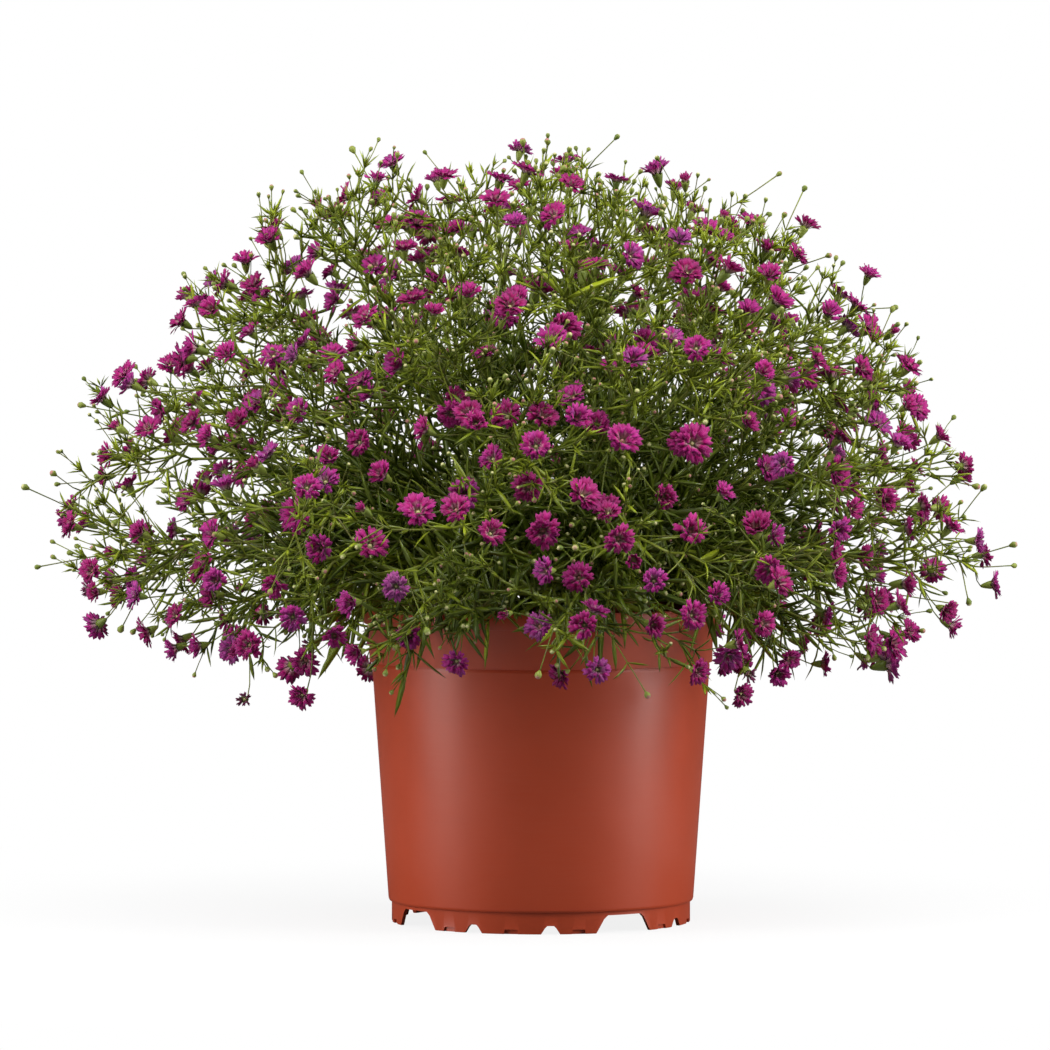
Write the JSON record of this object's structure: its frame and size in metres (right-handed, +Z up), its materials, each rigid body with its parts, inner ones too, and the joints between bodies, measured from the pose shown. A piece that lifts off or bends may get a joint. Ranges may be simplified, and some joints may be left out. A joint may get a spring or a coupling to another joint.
{
  "type": "potted gypsophila",
  "caption": "Low domed plant of thin forking stems with small double blooms, rooted in the soil of a tapered plastic nursery pot.",
  "frame": {"origin": "centre of the pot's footprint, on the surface it stands on", "axes": "+Z up the pot's axis, -Y towards the side that the picture shows, +X to its right"},
  "size_m": [0.337, 0.335, 0.267],
  "materials": {
    "pot": "terracotta-coloured moulded plastic, satin, with fine level lines",
    "soil": "dark crumbly peat",
    "plant": "matte yellow-green stems and leaves",
    "petals": "thin matte petals, magenta pink with darker veins"
  },
  "bodies": {
    "root": {"pot": "pot", "soil": "soil", "spray_01": "plant", "spray_02": "plant", "spray_03": "plant", "spray_04": "plant", "spray_05": "plant", "spray_06": "plant", "spray_07": "plant", "spray_08": "plant", "spray_09": "plant", "spray_10": "plant", "spray_11": "plant", "spray_12": "plant", "spray_13": "plant", "spray_14": "plant", "spray_15": "plant", "spray_16": "plant", "spray_17": "plant", "spray_18": "plant", "spray_19": "plant", "spray_20": "plant", "spray_21": "plant", "spray_22": "plant", "spray_23": "plant", "spray_24": "plant", "spray_25": "plant", "spray_26": "plant", "spray_27": "plant", "spray_28": "plant", "spray_29": "plant", "spray_30": "plant"}
  },
  "joints": []
}
